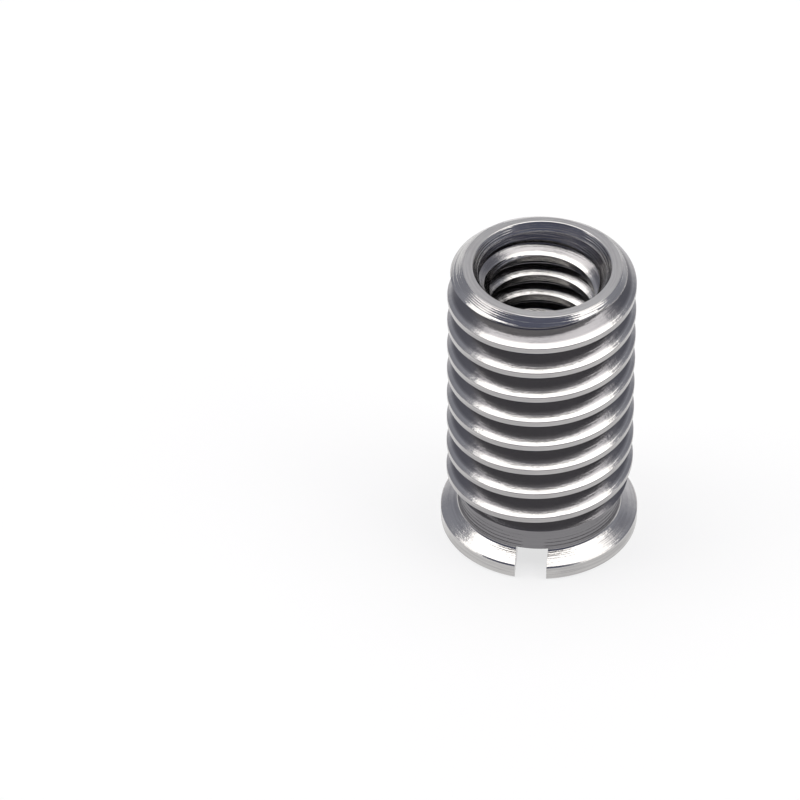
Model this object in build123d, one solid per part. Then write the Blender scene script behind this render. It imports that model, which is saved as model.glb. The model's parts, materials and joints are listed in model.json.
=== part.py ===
from build123d import *
from build123d.topology import SkipClean
import os
from math import atan2, ceil, degrees, floor, radians, tan

# One turned piece: a threaded sleeve with a slotted flange at its foot. It stands on
# the flange, with the origin at the middle of the flange's face and +Z along the axis.
# The driver slot runs along Y. All sizes are in millimetres.

# Overall
overall_length = 16.4
round_sectors = 16             # each turned face is made in this many equal parts

# Outer thread, 3/8-16, right-handed. A ridge's form goes with its pitch.
outer_diameter = 9.4
outer_pitch = 25.4 / 16
outer_depth_in_pitches = 0.573
outer_crest_in_pitches = 0.189
outer_crest_height = 15.353    # a crest's upper edge, on the +X side

# Run-out, where the outer groove swings out of the metal above the neck
runout_angle = 190.0           # where it starts, about +Z from the +X side
runout_turns = 0.25
runout_lift = 0.75

# Inner thread, 1/4-20, right-handed
inner_diameter = 6.35          # across the roots of its grooves
inner_pitch = 25.4 / 20
inner_depth_in_pitches = 0.453
inner_crest_in_pitches = 0.268
inner_crest_height = 14.22     # a crest's lower edge, on the +X side

flank_angle = 30.0             # both threads' flanks, from the plane across the axis

# Open end
end_chamfer = 0.76             # at 45 degrees
end_sink_margin = 0.295        # countersink's rim beyond the inner thread's roots
end_sink_angle = 30.0          # of the countersink's wall, from the axis

# Flange, neck and relief under the outer thread
flange_overhang = 0.275        # beyond the outer thread's crests
flange_rim_height = 0.72
rim_bevel = 0.05               # at 45 degrees
cone_top_height = 1.18
neck_above_roots = 0.33        # neck's wall beyond the outer thread's roots
relief_start_height = 2.45
relief_angle = 45.0            # of the relief's cone, from the axis

# Mouth of the bore in the flange
mouth_margin = 0.385           # its rim beyond the inner thread's roots
mouth_chamfer = 0.55           # at 45 degrees
mouth_sink_angle = 30.0        # of the cone inside the chamfer, from the axis

# Driver slot across the flange
slot_width = 1.6
slot_depth = 1.3

cutter_overrun = 1.0           # how far cutters pass beyond the ends they open
crest_overrun = 0.1            # how far a groove's cutter stands out of the crests

outer_depth = outer_depth_in_pitches * outer_pitch
outer_crest = outer_crest_in_pitches * outer_pitch
outer_radius = outer_diameter / 2
outer_root_radius = outer_radius - outer_depth
inner_depth = inner_depth_in_pitches * inner_pitch
inner_crest = inner_crest_in_pitches * inner_pitch
inner_root_radius = inner_diameter / 2
bore_radius = inner_root_radius - inner_depth


def outline():
    """Half section of the sleeve before threading, on the +X side of the axis."""
    flange_radius = outer_radius + flange_overhang
    bevel_height = flange_rim_height + rim_bevel
    neck_radius = outer_root_radius + neck_above_roots
    relief_rise = (outer_radius - neck_radius) / tan(radians(relief_angle))
    end_radius = outer_radius - end_chamfer
    end_sink_radius = inner_root_radius + end_sink_margin
    end_sink_depth = (end_sink_radius - bore_radius) / tan(radians(end_sink_angle))
    mouth_radius = inner_root_radius + mouth_margin
    mouth_sink_radius = mouth_radius - mouth_chamfer
    mouth_sink_rise = (mouth_sink_radius - bore_radius) / tan(radians(mouth_sink_angle))

    points = [
        (mouth_radius, 0),
        (flange_radius - rim_bevel, 0),
        (flange_radius, rim_bevel),
        (flange_radius, flange_rim_height),
        (flange_radius - rim_bevel, bevel_height),
        (neck_radius, cone_top_height),
        (neck_radius, relief_start_height),
        (outer_radius, relief_start_height + relief_rise),
        (outer_radius, overall_length - end_chamfer),
        (end_radius, overall_length),
        (end_sink_radius, overall_length),
        (bore_radius, overall_length - end_sink_depth),
        (bore_radius, mouth_chamfer + mouth_sink_rise),
        (mouth_sink_radius, mouth_chamfer),
    ]
    with BuildSketch(Plane.XZ) as sketch:
        with BuildLine():
            Polyline(*points, close=True)
        make_face()
    return sketch.sketch


def blank():
    """The turned sleeve before threading, its round faces in equal parts."""
    step = 360 / round_sectors
    wedge = revolve(outline(), Axis.Z, step)
    wedges = [Rot(0, 0, number * step) * wedge for number in range(round_sectors)]
    return wedges[0].fuse(*wedges[1:])


def groove_section(pitch, depth, crest, side):
    """Points of a groove's section, (outward, up) from its root; side is -1 for a bore."""
    slope = tan(radians(flank_angle))
    reach = depth + crest_overrun
    root_half = (pitch - crest) / 2 - depth * slope
    mouth_half = root_half + reach * slope
    return [(0, -root_half), (side * reach, -mouth_half), (side * reach, mouth_half), (0, root_half)]


def section_face(start, section):
    """A face across the start of a path; section's points are (outward, up) from it."""
    plane = Plane(origin=start @ 0, x_dir=(1, 0, 0), z_dir=start % 0)
    with BuildSketch(plane) as sketch:
        with BuildLine():
            Polyline(*section, close=True)
        make_face()
    return sketch.sketch


def helical_bar(pitch, radius, turns, section):
    """A bar swept up a helix, which is joined from short arcs so that it cuts cleanly."""
    arcs_per_turn = 4
    arc = Helix(pitch=pitch, height=pitch / arcs_per_turn, radius=radius)
    arcs = []
    for number in range(ceil(turns * arcs_per_turn)):
        lift = number * pitch / arcs_per_turn
        arcs.append(Pos(0, 0, lift) * Rot(0, 0, number * 360 / arcs_per_turn) * arc)
    return sweep(section_face(arc, section), path=Wire(arcs), is_frenet=True, clean=False)


def runout_bar(section):
    """A bar that swings outward and down from the first turn of the outer groove."""
    drop = runout_turns * outer_pitch
    widening = degrees(atan2(runout_lift, drop))
    path = Helix(pitch=outer_pitch, height=drop, radius=outer_root_radius, cone_angle=widening)
    bar = sweep(section_face(path, section), path=path, is_frenet=True, clean=False)
    return Rot(180, 0, 0) * bar


def outer_cutters():
    """Cutters for the outer thread's groove and for the part turn that it runs out by."""
    section = groove_section(outer_pitch, outer_depth, outer_crest, 1)
    above_crest = (outer_pitch - outer_crest) / 2
    groove_height = outer_crest_height + above_crest + outer_pitch * runout_angle / 360
    turns_down = floor((groove_height - relief_start_height) / outer_pitch)
    start_height = groove_height - turns_down * outer_pitch
    turns = (overall_length + cutter_overrun - start_height) / outer_pitch
    start = Pos(0, 0, start_height) * Rot(0, 0, runout_angle)
    groove = helical_bar(outer_pitch, outer_root_radius, turns, section)
    return start * groove, start * runout_bar(section)


def inner_cutter():
    """Cutter for the inner thread's groove, right through the bore."""
    section = groove_section(inner_pitch, inner_depth, inner_crest, -1)
    groove_height = inner_crest_height - (inner_pitch - inner_crest) / 2
    turns_down = ceil((groove_height + cutter_overrun) / inner_pitch)
    start_height = groove_height - turns_down * inner_pitch
    turns = (overall_length + cutter_overrun - start_height) / inner_pitch
    return Pos(0, 0, start_height) * helical_bar(inner_pitch, inner_root_radius, turns, section)


def driver_slot():
    """Cutter for the slot across the flange's face, along Y."""
    length = 2 * (outer_radius + flange_overhang + cutter_overrun)
    height = slot_depth + cutter_overrun
    return Pos(0, 0, slot_depth - height / 2) * Box(slot_width, length, height)


def adapter():
    """The finished adapter. Faces stay in parts, so that each crest is short arcs."""
    with SkipClean():
        body = blank()
        for cutter in (*outer_cutters(), inner_cutter(), driver_slot()):
            body = body.cut(cutter)
    return body


os.makedirs("parts", exist_ok=True)
solid = adapter()
export_step(solid, "parts/adapter.step")
print(f"adapter: volume {solid.volume:.3f} mm3, valid {solid.is_valid}, solids {len(solid.solids())}")
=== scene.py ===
import json
import math

import bpy
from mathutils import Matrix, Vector


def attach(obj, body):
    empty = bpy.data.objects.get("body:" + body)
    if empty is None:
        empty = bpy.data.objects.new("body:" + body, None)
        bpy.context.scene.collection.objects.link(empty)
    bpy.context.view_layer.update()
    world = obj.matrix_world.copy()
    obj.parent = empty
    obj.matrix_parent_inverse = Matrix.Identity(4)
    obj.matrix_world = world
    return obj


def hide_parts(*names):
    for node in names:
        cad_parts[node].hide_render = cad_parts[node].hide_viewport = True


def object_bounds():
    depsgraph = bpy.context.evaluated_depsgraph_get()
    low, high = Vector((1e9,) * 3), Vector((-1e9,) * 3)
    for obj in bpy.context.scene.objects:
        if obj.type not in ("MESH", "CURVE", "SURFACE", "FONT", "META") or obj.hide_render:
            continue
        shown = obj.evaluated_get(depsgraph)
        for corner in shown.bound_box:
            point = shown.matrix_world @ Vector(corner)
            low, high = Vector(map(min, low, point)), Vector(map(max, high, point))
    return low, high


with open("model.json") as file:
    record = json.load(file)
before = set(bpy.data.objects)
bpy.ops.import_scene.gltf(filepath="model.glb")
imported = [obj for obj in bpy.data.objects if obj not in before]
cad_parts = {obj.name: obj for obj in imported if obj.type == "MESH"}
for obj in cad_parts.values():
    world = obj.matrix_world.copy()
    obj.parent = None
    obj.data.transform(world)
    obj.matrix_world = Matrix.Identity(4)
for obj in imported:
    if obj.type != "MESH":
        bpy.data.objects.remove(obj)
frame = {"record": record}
cadLow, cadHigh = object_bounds()
mounts = {mount["name"]: mount for mount in frame["record"]["mounts"]}
mm = 0.001
totalLength = cadHigh.z - cadLow.z
flangeRadius = (cadHigh.x - cadLow.x) / 2
crestRadius = mounts["outer_thread"]["dims"]["r_mm"] * mm
boreRadius = mounts["inner_thread"]["dims"]["r_mm"] * mm


# Working in edit mode

def activate(piece):
    bpy.ops.object.select_all(action="DESELECT")
    piece.select_set(True)
    bpy.context.view_layer.objects.active = piece


def applyModifiers(piece):
    activate(piece)
    for modifier in list(piece.modifiers):
        bpy.ops.object.modifier_apply(modifier=modifier.name)


def turnSolid(name, profile, around):
    # a solid of revolution: one ring, then one extruded ring for each further (radius, height)
    radius, height = profile[0]
    bpy.ops.object.select_all(action="DESELECT")
    bpy.ops.mesh.primitive_circle_add(
        vertices=around, radius=radius, fill_type="NGON", location=(0, 0, height))
    solid = bpy.context.object
    solid.name = name
    bpy.ops.object.transform_apply(location=True)
    bpy.ops.object.mode_set(mode="EDIT")
    bpy.ops.mesh.select_all(action="SELECT")
    for nextRadius, nextHeight in profile[1:]:
        rise = (0, 0, nextHeight - height)
        bpy.ops.mesh.extrude_region_move(TRANSFORM_OT_translate={"value": rise})
        scale = nextRadius / radius
        bpy.ops.transform.resize(value=(scale, scale, 1), center_override=(0, 0, nextHeight))
        radius, height = nextRadius, nextHeight
    bpy.ops.mesh.select_all(action="SELECT")
    bpy.ops.mesh.normals_make_consistent(inside=False)
    bpy.ops.object.mode_set(mode="OBJECT")
    return solid


def drawOutline(name, profile):
    # a line through the outline's points, on the +X side
    bpy.ops.object.select_all(action="DESELECT")
    bpy.ops.mesh.primitive_plane_add(size=1)
    outline = bpy.context.object
    outline.name = name
    bpy.ops.object.mode_set(mode="EDIT")
    bpy.ops.mesh.select_all(action="SELECT")
    bpy.ops.mesh.merge(type="CENTER")
    radius, height = profile[0]
    bpy.ops.transform.translate(value=(radius, 0, height))
    for nextRadius, nextHeight in profile[1:]:
        step = (nextRadius - radius, 0, nextHeight - height)
        bpy.ops.mesh.extrude_vertices_move(TRANSFORM_OT_translate={"value": step})
        radius, height = nextRadius, nextHeight
    bpy.ops.object.mode_set(mode="OBJECT")
    return outline


def screwSolid(name, profile, pitch, turns, around, low, high):
    # a threaded rod: one pitch of its outline on a screw, trimmed flat at both ends
    tiny, near = pitch * 1e-5, pitch * 1e-4
    rod = drawOutline(name, profile)
    screw = rod.modifiers.new("thread", "SCREW")
    screw.axis = "Z"
    screw.screw_offset = pitch
    screw.iterations = turns
    screw.steps = around
    screw.render_steps = around
    screw.use_merge_vertices = True
    screw.merge_threshold = near
    applyModifiers(rod)
    bpy.ops.object.mode_set(mode="EDIT")
    bpy.ops.mesh.select_all(action="SELECT")
    bpy.ops.mesh.remove_doubles(threshold=near)
    bpy.ops.mesh.bisect(
        plane_co=(0, 0, low), plane_no=(0, 0, 1), use_fill=True, clear_inner=True, threshold=tiny)
    bpy.ops.mesh.select_all(action="SELECT")
    bpy.ops.mesh.bisect(
        plane_co=(0, 0, high), plane_no=(0, 0, 1), use_fill=True, clear_outer=True, threshold=tiny)
    bpy.ops.mesh.select_all(action="SELECT")
    bpy.ops.mesh.normals_make_consistent(inside=False)
    bpy.ops.object.mode_set(mode="OBJECT")
    return rod


def turnBy(degrees):
    # what is selected turns about Z, anticlockwise from above
    angle = -math.radians(degrees)
    bpy.ops.transform.rotate(value=angle, orient_axis="Z", center_override=(0, 0, 0))


def combine(piece, tool, operation):
    boolean = piece.modifiers.new(operation.lower(), "BOOLEAN")
    boolean.operation = operation
    boolean.solver = "EXACT"
    boolean.object = tool
    applyModifiers(piece)
    bpy.data.objects.remove(tool)
    print("  ", operation.lower(), "leaves", len(piece.data.polygons), "faces")


# Outlines, as lists of (radius, height)

def edgeArc(before, corner, after, radius, steps=3):
    # the small arc that rounds one corner of an outline
    corner = Vector(corner)
    back = (Vector(before) - corner).normalized()
    ahead = (Vector(after) - corner).normalized()
    half = back.angle(ahead) / 2
    centre = corner + (back + ahead).normalized() * radius / math.sin(half)
    first = corner + back * radius / math.tan(half) - centre
    last = corner + ahead * radius / math.tan(half) - centre
    arms = [first.lerp(last, step / steps).normalized() * radius for step in range(steps + 1)]
    return [tuple(centre + arm) for arm in arms]


def softened(points, radii):
    # the same outline with each inner corner rounded
    result = [points[0]]
    for before, corner, after, radius in zip(points, points[1:], points[2:], radii):
        result += edgeArc(before, corner, after, radius)
    return result + [points[-1]]


def toolMarks(start, end, spacing, depth, seed):
    # a straight cut from start to end, with the shallow rings that a turning tool leaves
    start, end = Vector(start), Vector(end)
    count = max(2, round((end - start).length / spacing))
    across = Vector((end.y - start.y, start.x - end.x)).normalized()
    result = []
    for step in range(1, 2 * count):
        wobble = 0.55 + 0.45 * math.sin(seed + 2.4 * step) * math.sin(1.7 * seed + 0.9 * step)
        lift = across * depth * wobble if step % 2 else Vector((0, 0))
        result.append(tuple(start.lerp(end, step / (2 * count)) - lift))
    return result


# The adapter, one turned and threaded piece: made in millimetres, then scaled to metres

flankSlope = math.tan(math.radians(30))  # both threads have 60 degree flanks

outerThread = {
    "pitch": 25.4 / 16,
    "depthInPitches": 0.573,
    "crestInPitches": 0.189,
    "crestHeight": 15.353,  # a crest's upper edge on the +X side
    "rootRounding": 0.10,
    "crestRounding": 0.035,
    "around": 192,
    "runoutAngle": 190,  # where the groove leaves the thread, in degrees about +Z from +X
    "runoutSweep": 90,
    "runoutLift": 0.75,
    "runoutLeadIn": 75,
    "runoutClearance": 0.004,
    "runoutReach": 0.1,
}
innerThread = {
    "pitch": 25.4 / 20,
    "depthInPitches": 0.453,
    "crestInPitches": 0.268,
    "crestHeight": 14.22,  # a crest's lower edge on the +X side
    "rootRounding": 0.06,
    "crestRounding": 0.035,
    "around": 144,
}
sleeve = {
    "endChamfer": 0.76,
    "endEdge": 0.045,
    "sinkMargin": 0.295,
    "sinkAngle": 30,
    "neckAboveRoots": 0.33,
    "neckRounding": 0.12,
    "reliefStart": 2.45,
    "coneTop": 1.18,
    "rimHeight": 0.72,
    "rimBevel": 0.05,
    "mouthMargin": 0.385,
    "mouthChamfer": 0.55,
    "mouthAngle": 30,
    "slotWidth": 1.6,
    "slotDepth": 1.3,
    "feed": 0.11,
    "markDepth": 0.008,
    "around": 192,
    "overrun": 0.3,
    "envelopeMargin": 0.12,
    "rodOverlap": 0.2,
    "joinInset": 0.002,
    "joinOverlap": 0.013,
    "tipInset": 0.1,
    "lipInset": 0.01,
    "grooveWidth": 0.03,
    "grooveDepth": 0.035,
    "grooveLip": 0.01,
    "weldDistance": 0.0002,
    "smoothAngle": 32,
}


def threadOutline(thread, outside):
    # one pitch, from the middle of one groove to the middle of the next
    pitch, depth = thread["pitch"], thread["depthInPitches"] * thread["pitch"]
    crest = thread["crestInPitches"] * pitch
    if outside:
        root = crestRadius / mm - depth
        ridge = root + depth
    else:
        ridge = boreRadius / mm
        root = ridge + depth
    rootHalf = (pitch - crest) / 2 - depth * flankSlope
    corners = [
        (root, 0),
        (root, rootHalf),
        (ridge, rootHalf + depth * flankSlope),
        (ridge, rootHalf + depth * flankSlope + crest),
        (root, pitch - rootHalf),
        (root, pitch),
    ]
    rootRounding, crestRounding = thread["rootRounding"], thread["crestRounding"]
    return softened(corners, [rootRounding, crestRounding, crestRounding, rootRounding])


def threadedRod(name, thread, outside, low, high):
    # low and high are the rod's flat ends; the crest height sets how it is turned
    pitch = thread["pitch"]
    halfGroove = (1 - thread["crestInPitches"]) * pitch / 2
    groove = thread["crestHeight"] + (halfGroove if outside else -halfGroove)
    first = groove - math.ceil((groove - low) / pitch + 1) * pitch
    turns = math.ceil((high - first) / pitch) + 1
    outline = [(radius, first + height) for radius, height in threadOutline(thread, outside)]
    return screwSolid(name, outline, pitch, turns, thread["around"], low, high)


def marked(start, end, seed, heavier=1):
    return toolMarks(start, end, sleeve["feed"], sleeve["markDepth"] * heavier, seed)


def endEnvelope(neck, crest, length):
    # keeps the outer thread inside the end chamfer and the relief above the neck
    size = sleeve
    relief, over = size["reliefStart"], size["envelopeMargin"]
    face = crest - size["endChamfer"]
    foot = (crest + over, length - size["endChamfer"] - over)
    edge = edgeArc(foot, (face, length), (0, length), size["endEdge"])
    points = [(neck - over, relief - size["overrun"]), (neck - over, relief - over)]
    points += [(crest + over, relief + crest + over - neck), foot]
    points += marked(foot, edge[0], 1.3, 1.2) + edge
    return turnSolid("envelope", points, size["around"])


def runoutGroove():
    # cutter for the thread's last groove, which swings outward and down into the neck
    thread, step = outerThread, 360 / outerThread["around"]
    pitch, depth = thread["pitch"], thread["depthInPitches"] * thread["pitch"]
    root = crestRadius / mm - depth
    halfGroove = (pitch - thread["crestInPitches"] * pitch) / 2
    clear, leadIn = thread["runoutClearance"], thread["runoutLeadIn"]
    root, rootHalf = root - clear, halfGroove - depth * flankSlope + clear
    reach = depth + thread["runoutReach"]
    upper = [(root, 0), (root, rootHalf), (root + reach, rootHalf + reach * flankSlope)]
    side = edgeArc(*upper, thread["rootRounding"]) + [upper[2]]
    section = [(radius, -height) for radius, height in reversed(side)] + side

    # it starts part of a turn up the thread, where it only retraces the groove
    groove = thread["crestHeight"] + halfGroove + pitch * thread["runoutAngle"] / 360
    turnsDown = math.floor((groove - sleeve["reliefStart"]) / pitch)
    height = groove + (leadIn / 360 - turnsDown) * pitch
    cutter = drawOutline("runout", [(radius, up + height) for radius, up in section])
    bpy.ops.object.mode_set(mode="EDIT")
    bpy.ops.mesh.select_all(action="SELECT")
    bpy.ops.mesh.edge_face_add()
    turnBy(thread["runoutAngle"] + leadIn)
    radius = root
    for number in range(round((leadIn + thread["runoutSweep"]) / step)):
        lift = thread["runoutLift"] * step / thread["runoutSweep"] if number * step >= leadIn else 0
        drop = -pitch * step / 360
        bpy.ops.mesh.extrude_region_move(TRANSFORM_OT_translate={"value": (0, 0, drop)})
        turnBy(-step)
        scale = (radius + lift) / radius
        bpy.ops.transform.resize(value=(scale, scale, 1), center_override=(0, 0, 0))
        radius += lift
    bpy.ops.mesh.select_all(action="SELECT")
    bpy.ops.mesh.normals_make_consistent(inside=False)
    bpy.ops.object.mode_set(mode="OBJECT")
    return cutter


def flangeAndNeck(neck, flange):
    size = sleeve
    bevel, rim = size["rimBevel"], size["rimHeight"]
    base = (neck, size["coneTop"])
    rimEdge = (flange - bevel, rim + bevel)
    top = (neck - size["joinInset"], size["reliefStart"] + size["joinOverlap"])
    foot = edgeArc(rimEdge, base, top, size["neckRounding"])
    points = [(flange - bevel, 0), (flange, bevel), (flange, rim), rimEdge]
    points += marked(rimEdge, foot[0], 2.1, 0.35) + foot + marked(foot[-1], top, 4.4) + [top]
    return turnSolid("flange", points, size["around"])


def endSink(rimRadius, bore, length):
    # cutter for the countersink at the open end
    size = sleeve
    over, inset = size["overrun"], size["tipInset"]
    slope = math.tan(math.radians(size["sinkAngle"]))
    tip = (bore - inset, length - (rimRadius - bore + inset) / slope)
    edge = edgeArc(tip, (rimRadius, length), (rimRadius + 1, length), size["endEdge"])
    points = [tip] + marked(tip, edge[0], 0.7, 1.3) + edge
    points += [(edge[-1][0] + size["lipInset"], length + over)]
    return turnSolid("endSink", points, size["around"])


def mouthSink(mouth, bore):
    # cutter for the bore's mouth in the flange: a chamfer, a fine groove, then a steeper cone
    size = sleeve
    inset, wide, deep = size["tipInset"], size["grooveWidth"], size["grooveDepth"]
    step = (mouth - size["mouthChamfer"], size["mouthChamfer"])
    slope = math.tan(math.radians(size["mouthAngle"]))
    tip = (bore - inset, step[1] + (step[0] - bore + inset) / slope)
    edge = edgeArc((mouth + 1, 0), (mouth, 0), step, size["endEdge"])
    groove = [
        (step[0] + wide, step[1] - wide),
        (step[0] + deep, step[1] + size["grooveLip"]),
        (step[0] - size["grooveLip"], step[1] + wide),
    ]
    points = [(edge[0][0] + size["lipInset"], -size["overrun"])] + edge
    points += marked(edge[-1], groove[0], 3.2)
    points += groove + marked(groove[-1], tip, 5.9) + [tip]
    return turnSolid("mouthSink", points, size["around"])


def slotCutter(flange):
    # cutter for the driver slot, half of it below the flange
    size = sleeve
    half, depth, reach = size["slotWidth"] / 2, size["slotDepth"], flange + size["overrun"]
    bpy.ops.object.select_all(action="DESELECT")
    bpy.ops.mesh.primitive_cube_add(size=1, location=(0, 0, 0))
    cutter = bpy.context.object
    bpy.ops.object.mode_set(mode="EDIT")
    bpy.ops.mesh.select_all(action="SELECT")
    bpy.ops.transform.resize(value=(2 * half, 2 * reach, 2 * depth), center_override=(0, 0, 0))
    bpy.ops.object.mode_set(mode="OBJECT")
    return cutter


def makeAdapter():
    length, crest = totalLength / mm, crestRadius / mm
    bore, flange = boreRadius / mm, flangeRadius / mm
    neck = crest - outerThread["depthInPitches"] * outerThread["pitch"] + sleeve["neckAboveRoots"]
    innerRoot = bore + innerThread["depthInPitches"] * innerThread["pitch"]
    over = sleeve["overrun"]

    foot = sleeve["reliefStart"] - sleeve["rodOverlap"]
    body = threadedRod("adapterBody", outerThread, True, foot, length + over)
    print("outer thread", len(body.data.polygons), "faces")
    combine(body, endEnvelope(neck, crest, length), "INTERSECT")
    combine(body, flangeAndNeck(neck, flange), "UNION")
    combine(body, runoutGroove(), "DIFFERENCE")
    combine(body, threadedRod("bore", innerThread, False, -over, length + over), "DIFFERENCE")
    combine(body, endSink(innerRoot + sleeve["sinkMargin"], bore, length), "DIFFERENCE")
    combine(body, mouthSink(innerRoot + sleeve["mouthMargin"], bore), "DIFFERENCE")
    combine(body, slotCutter(flange), "DIFFERENCE")

    bpy.ops.object.mode_set(mode="EDIT")
    bpy.ops.mesh.select_all(action="SELECT")
    bpy.ops.mesh.remove_doubles(threshold=sleeve["weldDistance"])
    bpy.ops.mesh.dissolve_degenerate(threshold=sleeve["weldDistance"])
    bpy.ops.mesh.normals_make_consistent(inside=False)
    bpy.ops.object.mode_set(mode="OBJECT")
    bpy.ops.object.shade_smooth_by_angle(angle=math.radians(sleeve["smoothAngle"]))
    weighted = body.modifiers.new("weighted", "WEIGHTED_NORMAL")
    weighted.keep_sharp = True
    weighted.weight = 100
    weighted.thresh = 0
    applyModifiers(body)
    bpy.ops.object.mode_set(mode="EDIT")
    bpy.ops.mesh.select_all(action="SELECT")
    bpy.ops.transform.resize(value=(mm, mm, mm), center_override=(0, 0, 0))
    bpy.ops.object.mode_set(mode="OBJECT")
    return body


# Shader sockets in expressions

class Link:
    def __init__(self, tree, socket=None):
        self.tree = tree
        self.socket = socket

    def add(self, kind, settings={}, inputs={}, output=0):
        # any node: its type, its settings, then the values or links of its sockets
        node = self.tree.nodes.new(kind)
        for name, value in settings.items():
            setattr(node, name, value)
        for key, value in inputs.items():
            if isinstance(value, Link):
                self.tree.links.new(value.socket, node.inputs[key])
            else:
                node.inputs[key].default_value = value
        return Link(self.tree, node.outputs[output] if node.outputs else None)

    def other(self, output):
        return Link(self.tree, self.socket.node.outputs[output])

    def maths(self, operation, *values, clamp=False):
        settings = {"operation": operation, "use_clamp": clamp}
        return self.add("ShaderNodeMath", settings, dict(enumerate(values)))

    def __add__(self, value):
        return self.maths("ADD", self, value)

    def __radd__(self, value):
        return self.maths("ADD", value, self)

    def __sub__(self, value):
        return self.maths("SUBTRACT", self, value)

    def __rsub__(self, value):
        return self.maths("SUBTRACT", value, self)

    def __mul__(self, value):
        return self.maths("MULTIPLY", self, value)

    def __rmul__(self, value):
        return self.maths("MULTIPLY", value, self)

    def __truediv__(self, value):
        return self.maths("DIVIDE", self, value)

    def __pow__(self, value):
        return self.maths("POWER", self, value)

    def between(self, low, high):
        # 0 below low, 1 above high, smooth between; the other way round if low is above high
        if low > high:
            return 1 - self.between(high, low)
        settings = {"interpolation_type": "SMOOTHSTEP", "clamp": True}
        inputs = {"Value": self, "From Min": low, "From Max": high}
        return self.add("ShaderNodeMapRange", settings, inputs)

    def noise(self, scale, detail, roughness=0.5):
        # this link is a vector
        settings = {"noise_dimensions": "3D"}
        inputs = {"Vector": self, "Scale": scale, "Detail": detail, "Roughness": roughness}
        return self.add("ShaderNodeTexNoise", settings, inputs)

    def mixColour(self, first, second):
        # this link is the factor
        return self.add("ShaderNodeMix", {"data_type": "RGBA"}, {0: self, 6: first, 7: second}, 2)


def newMaterial(name):
    material = bpy.data.materials.new(name)
    material.use_nodes = True
    material.node_tree.nodes.clear()
    return material, Link(material.node_tree)


# Steel finish

steel = {
    "colour": (0.55, 0.54, 0.53, 1),
    # the tool streaks' colour, also used for the painted shade on the crests
    "streakAndShadeColour": (0.40, 0.39, 0.39, 1),
    # painted shade: the dark colour that the thread roots and the bore shift towards, standing in
    # for shade and dark reflections in those hollows
    "paintedShadeColour": (0.185, 0.18, 0.19, 1),
    "crestRoughness": 0.20,
    "flankRoughness": 0.16,
    "faceRoughness": 0.34,
    "boreRoughness": 0.17,
    "ringsPerMillimetre": 7,
    "ringHeight": 0.000012,
    "scoreHeight": 0.000012,
    # how strongly the painted shade darkens the outer thread's roots and the bore
    "rootPaintedShade": 0.9,
    "borePaintedShade": 0.75,
    # painted shade: how far the crests darken towards the streak colour, standing in for their
    # darker reflection
    "crestPaintedShade": 0.45,
    "roughnessVariation": 0.16,
}


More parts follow.
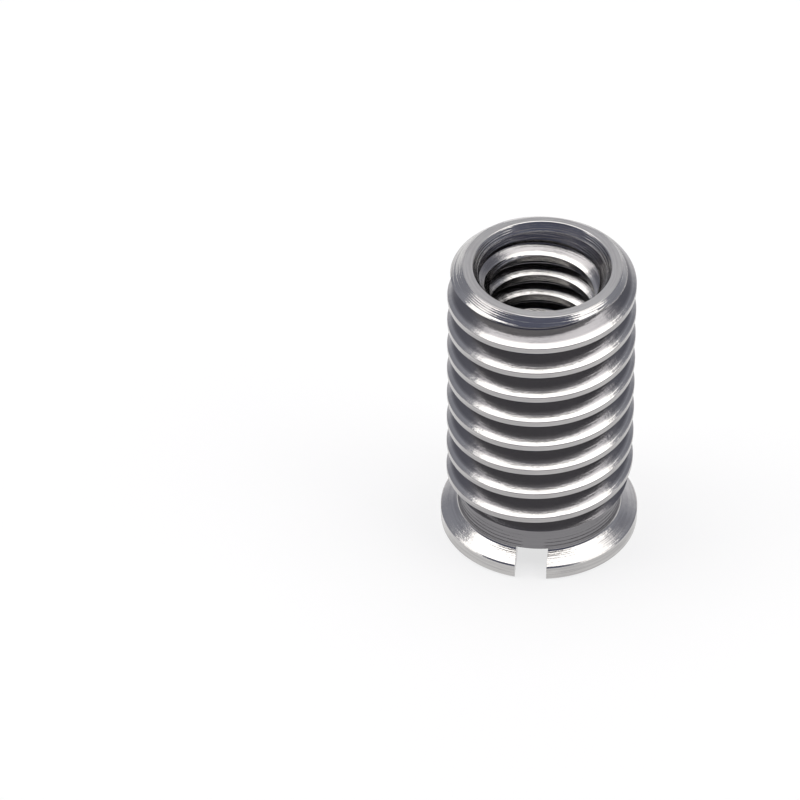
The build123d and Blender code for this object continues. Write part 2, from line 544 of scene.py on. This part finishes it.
def steelMaterial():
    material, start = newMaterial("turnedSteel")
    place = start.add("ShaderNodeTexCoord", output="Object")
    inputs = {0: place, "Scale": 1 / mm}
    scaled = start.add("ShaderNodeVectorMath", {"operation": "SCALE"}, inputs)
    x = start.add("ShaderNodeSeparateXYZ", {}, {0: scaled})
    y, z = x.other(1), x.other(2)
    radius = (x * x + y * y) ** 0.5
    turn = start.maths("ARCTAN2", y, x) / (2 * math.pi)
    crest, length = crestRadius / mm, totalLength / mm
    root = crest - outerThread["depthInPitches"] * outerThread["pitch"]

    # where on the piece this is
    outside = radius.between(root - 0.14, root - 0.12)
    aboveNeck = z.between(sleeve["reliefStart"] + 0.05, sleeve["reliefStart"] + 0.15)
    chamferFoot = length - sleeve["endChamfer"]
    belowEnd = z.between(chamferFoot + 0.03, chamferFoot)
    threaded = outside * aboveNeck * belowEnd
    innerRoot = boreRadius / mm + innerThread["depthInPitches"] * innerThread["pitch"]
    inBore = radius.between(innerRoot + 0.06, innerRoot + 0.02)
    endFace = z.between(length - 0.03, length - 0.01)
    flangeFace = z.between(0.03, 0.01)
    slotHalf, slotDepth = sleeve["slotWidth"] / 2, sleeve["slotDepth"]
    inSlot = x.maths("ABSOLUTE", x).between(slotHalf + 0.01, slotHalf + 0.004)
    inSlot = inSlot * z.between(slotDepth + 0.02, slotDepth + 0.01)

    # rings left by the turning tool: on threads they follow the thread
    outerPhase = x.maths("FRACT", (z - outerThread["crestHeight"]) / outerThread["pitch"] - turn)
    innerPhase = x.maths("FRACT", (z - innerThread["crestHeight"]) / innerThread["pitch"] - turn)
    along = z + threaded * (outerPhase * outerThread["pitch"] - z)
    along = along + inBore * (innerPhase * innerThread["pitch"] - along)
    across = radius * 1.3 + along

    def stretched(*parts):
        return start.add("ShaderNodeCombineXYZ", {}, dict(enumerate(parts)))

    rings = stretched(x * 0.22, y * 0.22, across * steel["ringsPerMillimetre"]).noise(1.0, 3, 0.6)
    broadRings = stretched(x * 0.1, y * 0.1, across * 1.6).noise(1.0, 1)
    scores = stretched(x * 6, y * 0.15, z * 6).noise(1.0, 2)
    smudge = scaled.noise(0.55, 3)
    speckle = scaled.noise(9, 2)

    # colour: tool streaks; painted shade on the crests, standing in for their darker reflection;
    # and painted shade in the thread roots and down the bore, darker towards their depth
    # painted shade: darker towards the outer thread's roots and towards the bore's thread roots
    outerPaintedShade = radius.between(crest - 0.14, crest - 0.34) * outside * belowEnd
    outerPaintedShade = outerPaintedShade * z.between(sleeve["coneTop"] - 0.03, sleeve["coneTop"] + 0.12)
    innerPaintedShade = radius.between(boreRadius / mm + 0.08, boreRadius / mm + 0.30) * inBore
    outerPaintedShade, innerPaintedShade = outerPaintedShade * steel["rootPaintedShade"], innerPaintedShade * steel["borePaintedShade"]
    paintedShade = x.maths("MAXIMUM", outerPaintedShade, innerPaintedShade)
    atCrest = radius.between(crest - 0.03, crest - 0.01)
    streaksAndShade = rings.between(0.44, 0.62) * 0.55 + broadRings.between(0.48, 0.68) * 0.3
    streaksAndShade = streaksAndShade + smudge.between(0.5, 0.7) * 0.3
    # painted shade: the outer thread's crests darken towards the streak colour, a painted
    # reflection on top of the tool streaks
    streaksAndShade = x.maths("MINIMUM", streaksAndShade + atCrest * threaded * steel["crestPaintedShade"], 1.0)
    colour = streaksAndShade.mixColour(steel["colour"], steel["streakAndShadeColour"])
    # the painted shade is laid over the streaked colour
    colour = paintedShade.mixColour(colour, steel["paintedShadeColour"])

    rough = atCrest * (steel["crestRoughness"] - steel["flankRoughness"])
    rough = rough + steel["flankRoughness"]
    flat = endFace.maths("MAXIMUM", endFace, flangeFace)
    rough = rough + flat * (steel["faceRoughness"] - rough)
    rough = rough + inBore * (steel["boreRoughness"] - rough)
    vary = steel["roughnessVariation"]
    rough = rough + (speckle - 0.5) * vary + (smudge - 0.5) * vary + (rings - 0.5) * vary

    relief = rings * (0.45 + 0.9 * smudge) + broadRings * 1.2 + speckle * 0.35
    relief = relief + inSlot * (scores * (steel["scoreHeight"] / steel["ringHeight"]) - relief)
    inputs = {"Height": relief, "Strength": 1.0, "Distance": steel["ringHeight"]}
    bump = start.add("ShaderNodeBump", {}, inputs)
    shader = start.add("ShaderNodeBsdfPrincipled", {}, {
        "Base Color": colour, "Metallic": 1.0, "Roughness": rough, "Normal": bump,
    })
    start.add("ShaderNodeOutputMaterial", {}, {"Surface": shader})
    return material


# Floor, light and camera

studio = {
    "floorSize": 3.0,
    "floorGap": 0.00001,  # keeps the floor clear of the flange's face
    "floorColour": (0.90, 0.90, 0.905, 1),
    "floorLift": 0.70,  # how much of its own white the floor shows
    # soft boxes: azimuth (0 is the camera's side, 90 is +X), elevation, distance, size, radiance
    "topBox": (180, 85, 0.803, (1.12, 0.66), 2.5),
    "rightBox": (78, 43, 0.9, (0.56, 0.44), 1.8),
    "leftBox": (-84, 42, 0.9, (0.46, 0.48), 1.8),
    "lampColour": (1.0, 0.975, 0.93),
    "frontShade": (0.13, 0.14, 0.20, 1),
    "sideShade": (0.34, 0.35, 0.40, 1),
    "backShade": (0.92, 0.92, 0.95, 1),
    "frontFade": (-0.55, 0.0),  # directions along Y between which one shade turns into the next
    "backFade": (0.62, 0.95),
}


def makeFloor():
    bpy.ops.object.select_all(action="DESELECT")
    bpy.ops.mesh.primitive_plane_add(size=studio["floorSize"], location=(0, 0, -studio["floorGap"]))
    floor = bpy.context.object
    floor.name = "floor"
    material, start = newMaterial("paleFloor")
    ray = start.add("ShaderNodeLightPath")
    seen = ray.maths("ADD", ray.other("Is Camera Ray"), ray.other("Is Glossy Ray"))
    seen = ray.maths("ADD", seen, ray.other("Is Transmission Ray"), clamp=True)
    matt = start.add("ShaderNodeBsdfDiffuse", {}, {"Color": studio["floorColour"]})
    white = start.add("ShaderNodeEmission", {}, {"Color": (1, 1, 1, 1), "Strength": 1.0})
    mixed = start.add("ShaderNodeMixShader", {}, {0: seen * studio["floorLift"], 1: matt, 2: white})
    start.add("ShaderNodeOutputMaterial", {}, {"Surface": mixed})
    floor.data.materials.append(material)
    return floor


def addSoftBox(name, azimuth, elevation, distance, size, radiance):
    turn, lift = math.radians(azimuth), math.radians(elevation)
    flat = distance * math.cos(lift)
    place = Vector((flat * math.sin(turn), -flat * math.cos(turn), distance * math.sin(lift)))
    tilt = place.to_track_quat("Z", "Y").to_euler()
    bpy.ops.object.light_add(type="AREA", location=place, rotation=tilt)
    box = bpy.context.object
    box.name = name
    box.data.shape = "RECTANGLE"
    box.data.size, box.data.size_y = size
    box.data.energy = radiance * math.pi * size[0] * size[1]
    box.data.color = studio["lampColour"]


def makeLight():
    for name in ("topBox", "rightBox", "leftBox"):
        addSoftBox(name, *studio[name])
    world = bpy.data.worlds.new("studio")
    bpy.context.scene.world = world
    world.use_nodes = True
    world.node_tree.nodes.clear()
    start = Link(world.node_tree)
    direction = start.add("ShaderNodeTexCoord", output="Generated")
    y = start.add("ShaderNodeSeparateXYZ", {}, {0: direction}).other(1)
    shade = y.between(*studio["frontFade"]).mixColour(studio["frontShade"], studio["sideShade"])
    shade = y.between(*studio["backFade"]).mixColour(shade, studio["backShade"])
    background = start.add("ShaderNodeBackground", {}, {"Color": shade, "Strength": 1.0})
    start.add("ShaderNodeOutputWorld", {}, {"Surface": background})


view = {
    "azimuth": 5.7,
    "elevation": 40.79,
    "distance": 0.43665,
    "lens": 391.7,
    "aim": (-0.00701, -0.0007, 0.00763),
    "nearest": 0.01,
    "furthest": 20,
}


def makeCamera():
    turn, lift = math.radians(view["azimuth"]), math.radians(view["elevation"])
    flat = view["distance"] * math.cos(lift)
    rise = view["distance"] * math.sin(lift)
    place = Vector(view["aim"]) + Vector((flat * math.sin(turn), -flat * math.cos(turn), rise))
    bpy.ops.object.camera_add(location=place, rotation=(math.pi / 2 - lift, 0, turn))
    camera = bpy.context.object
    camera.data.lens = view["lens"]
    camera.data.clip_start = view["nearest"]
    camera.data.clip_end = view["furthest"]
    bpy.context.scene.camera = camera


adapter = makeAdapter()
adapter.data.materials.clear()
adapter.data.materials.append(steelMaterial())
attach(adapter, "root")
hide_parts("adapter")
print("adapter made:", len(adapter.data.polygons), "faces")

makeFloor()
makeLight()
makeCamera()
bpy.context.scene.view_settings.view_transform = "Standard"
print("studio made")
